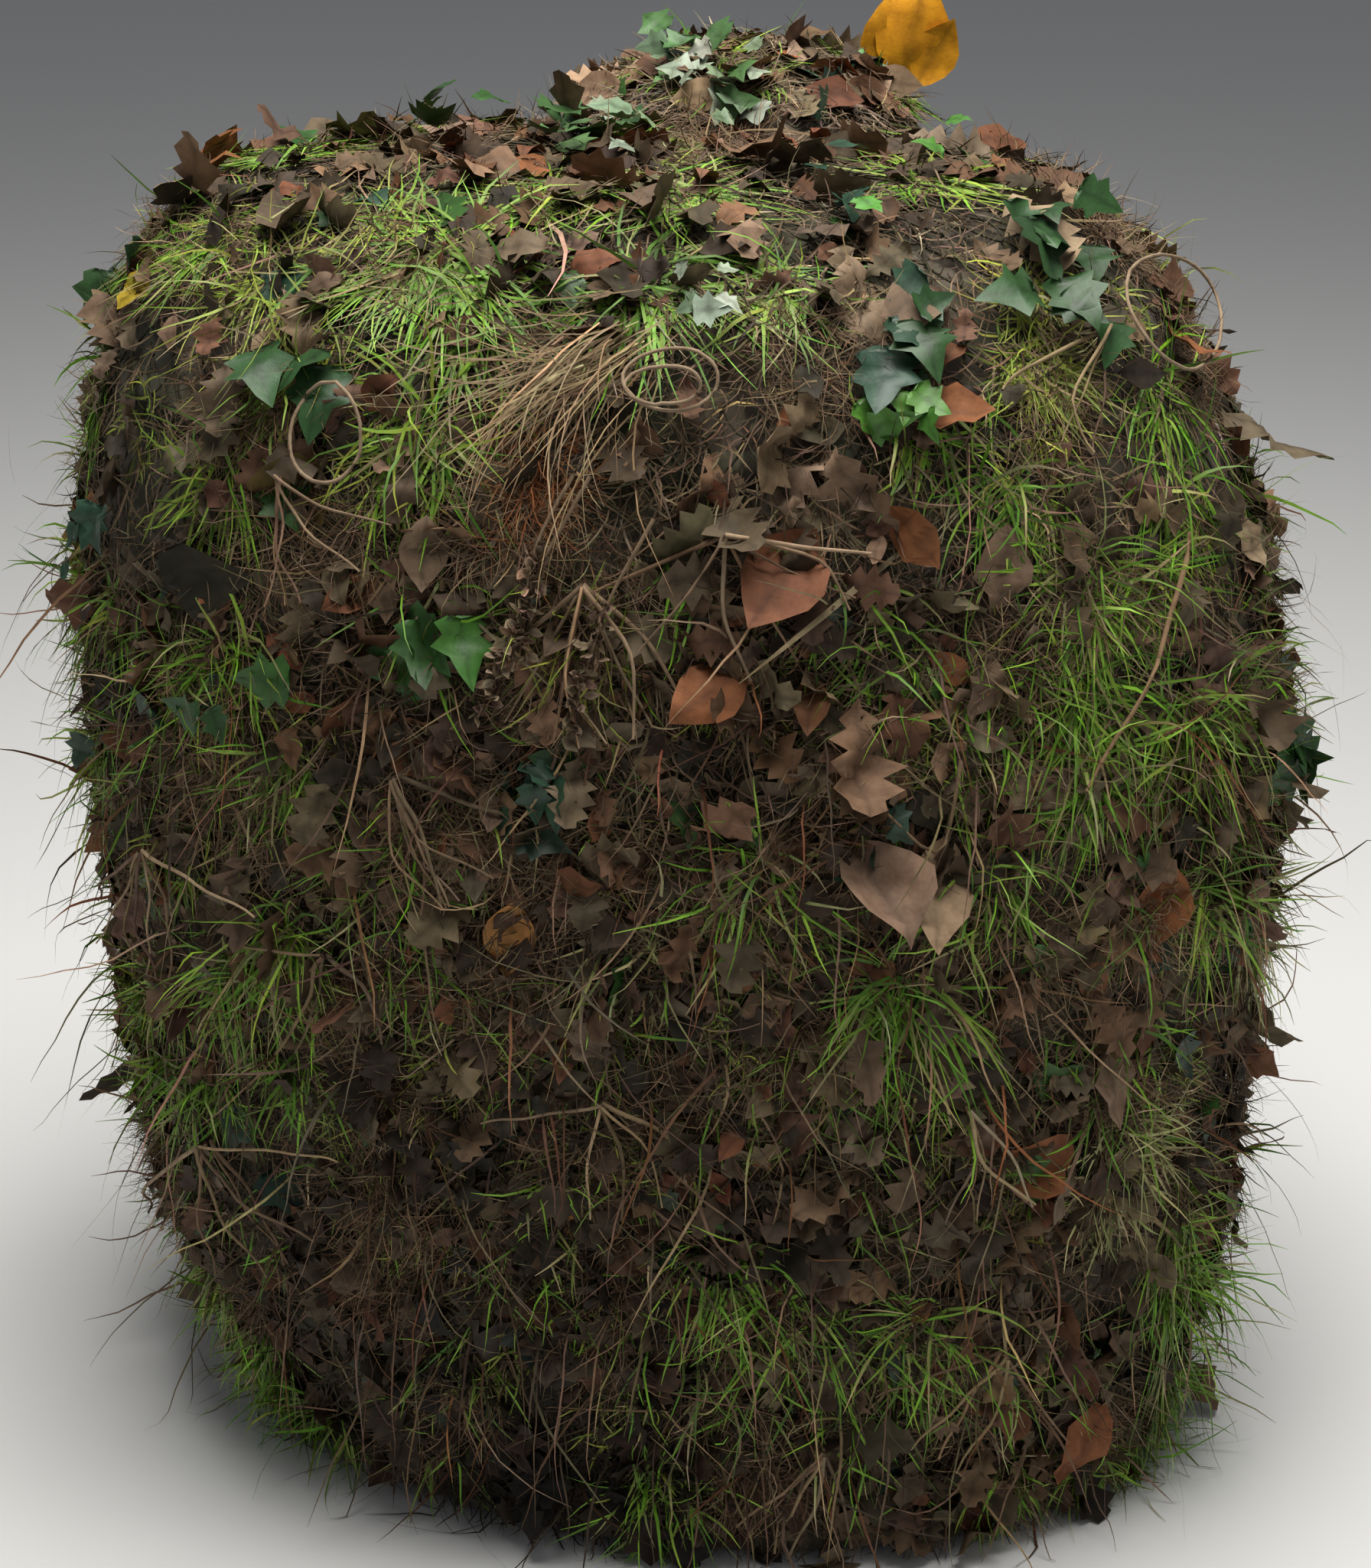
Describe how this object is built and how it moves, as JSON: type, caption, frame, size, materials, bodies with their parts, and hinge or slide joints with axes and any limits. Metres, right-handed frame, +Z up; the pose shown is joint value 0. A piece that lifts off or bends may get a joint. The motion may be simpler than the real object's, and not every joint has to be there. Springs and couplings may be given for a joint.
{
  "type": "ghillie suit",
  "caption": "Hooded ghillie cape in camouflage cloth, covered in grass, moss, ivy and dead leaves, standing on its hem, with hood, veil, front flap and arm covers that move.",
  "frame": {"origin": "on the ground, under the middle of the cape's box", "axes": "+Z up from the hem to the hood, +Y to the wearer's front, +X to the wearer's right"},
  "size_m": [0.9206, 0.7426, 1.0331],
  "materials": {
    "camouflage_cloth": "matte printed cloth",
    "trim_cloth": "matte folded cloth",
    "webbing": "woven tape",
    "netting": "knotted cord net",
    "padding": "quilted pad",
    "dull_brass": "dull",
    "grass": "fresh grass and moss",
    "ivy": "leaf",
    "dead_leaf": "dry leaf",
    "yellow_leaf": "dry leaf",
    "straw": "dry stem"
  },
  "bodies": {
    "cape": {"back_panel_lower": "camouflage_cloth", "back_panel_upper": "camouflage_cloth", "beech_leaves_back": "dead_leaf", "beech_leaves_sides": "dead_leaf", "eyelets": "dull_brass", "front_panel_right": "camouflage_cloth", "grass_tufts_back": "grass", "grass_tufts_sides": "grass", "grass_tufts_top": "grass", "hem_casing": "trim_cloth", "ivy_sprigs": "ivy", "moss_pads": "grass", "neck_collar": "trim_cloth", "netting_back": "netting", "netting_front_right": "netting", "netting_left": "netting", "netting_right": "netting", "netting_yoke": "netting", "oak_leaves_back": "dead_leaf", "oak_leaves_sides": "dead_leaf", "oak_leaves_top": "dead_leaf", "press_studs": "dull_brass", "root_fibre": "straw", "seed_head": "straw", "shoulder_pad_left": "padding", "shoulder_pad_right": "padding", "shoulder_yoke": "camouflage_cloth", "side_panel_left": "camouflage_cloth", "side_panel_right": "camouflage_cloth", "straw_bundle": "straw", "twigs": "straw", "vine_rings": "straw", "webbing_back": "webbing", "webbing_front_right": "webbing", "webbing_left": "webbing", "webbing_right": "webbing", "webbing_yoke": "webbing"},
    "hood": {"hood_brim": "trim_cloth", "hood_chin": "camouflage_cloth", "hood_crown": "camouflage_cloth", "hood_leaves": "dead_leaf", "hood_side_left": "camouflage_cloth", "hood_side_right": "camouflage_cloth", "hood_tufts": "grass", "hood_yellow_leaf": "yellow_leaf", "netting_hood": "netting"},
    "veil": {"face_veil": "netting"},
    "flap": {"front_flap": "camouflage_cloth", "flap_hem_casing": "trim_cloth", "front_placket": "trim_cloth", "press_stud_caps": "dull_brass", "webbing_flap": "webbing", "netting_flap": "netting", "flap_grass": "grass", "flap_leaves": "dead_leaf"},
    "arm_cover_left": {"arm_cover_left": "camouflage_cloth"},
    "arm_cover_right": {"arm_cover_right": "camouflage_cloth"}
  },
  "joints": [
    {"name": "hood_fold", "type": "hinge", "parent": "cape", "child": "hood", "pos_m": [0.05, 0.04, 0.964], "axis": [1, 0, 0], "range_deg": [0, 80]},
    {"name": "veil_lift", "type": "hinge", "parent": "hood", "child": "veil", "pos_m": [0.05, 0.276, 1.001], "axis": [1, 0, 0], "range_deg": [0, 100]},
    {"name": "flap_open", "type": "hinge", "parent": "cape", "child": "flap", "pos_m": [-0.278, 0.3185, 0.4], "axis": [0, 0, 1], "range_deg": [0, 100]},
    {"name": "arm_cover_left_open", "type": "hinge", "parent": "cape", "child": "arm_cover_left", "pos_m": [-0.3745, 0.2465, 0.5], "axis": [0, 0, -1], "range_deg": [0, 75]},
    {"name": "arm_cover_right_open", "type": "hinge", "parent": "cape", "child": "arm_cover_right", "pos_m": [0.355, 0.2365, 0.5], "axis": [0, 0, 1], "range_deg": [0, 75]}
  ]
}
